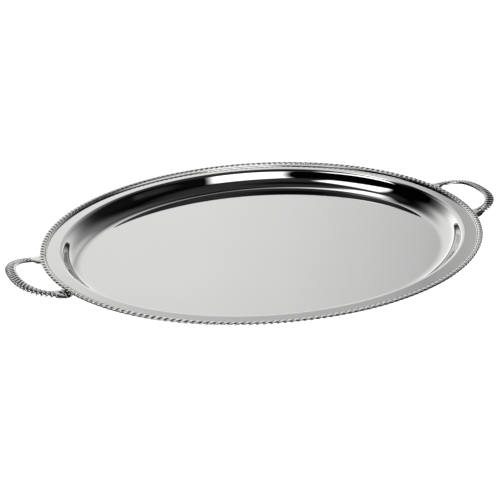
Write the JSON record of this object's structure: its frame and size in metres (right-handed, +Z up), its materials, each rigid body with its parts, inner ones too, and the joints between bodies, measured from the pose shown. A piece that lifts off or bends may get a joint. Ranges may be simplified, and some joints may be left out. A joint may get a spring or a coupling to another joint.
{
  "type": "serving tray",
  "caption": "Oval metal serving tray with a shallow well, a flat ledge, a raised roll border and a loop handle at each end.",
  "frame": {"origin": "middle of the flat underside, on the surface the tray stands on", "axes": "+X along the tray towards the right handle, +Y towards the back edge, +Z up"},
  "size_m": [0.5798, 0.4214, 0.0261],
  "materials": {
    "polished_sheet": "mirror polished sheet",
    "border_metal": "polished cast gadroon",
    "cast_metal": "polished casting",
    "screw_steel": "plain machined"
  },
  "bodies": {
    "root": {"tray_pan": "polished_sheet", "border_front": "border_metal", "border_back": "border_metal", "border_left": "border_metal", "border_right": "border_metal", "handle_left": "cast_metal", "handle_right": "cast_metal", "screw_left_front_inner": "screw_steel", "screw_left_front_outer": "screw_steel", "screw_left_back_inner": "screw_steel", "screw_left_back_outer": "screw_steel", "screw_right_front_inner": "screw_steel", "screw_right_front_outer": "screw_steel", "screw_right_back_inner": "screw_steel", "screw_right_back_outer": "screw_steel"}
  },
  "joints": []
}
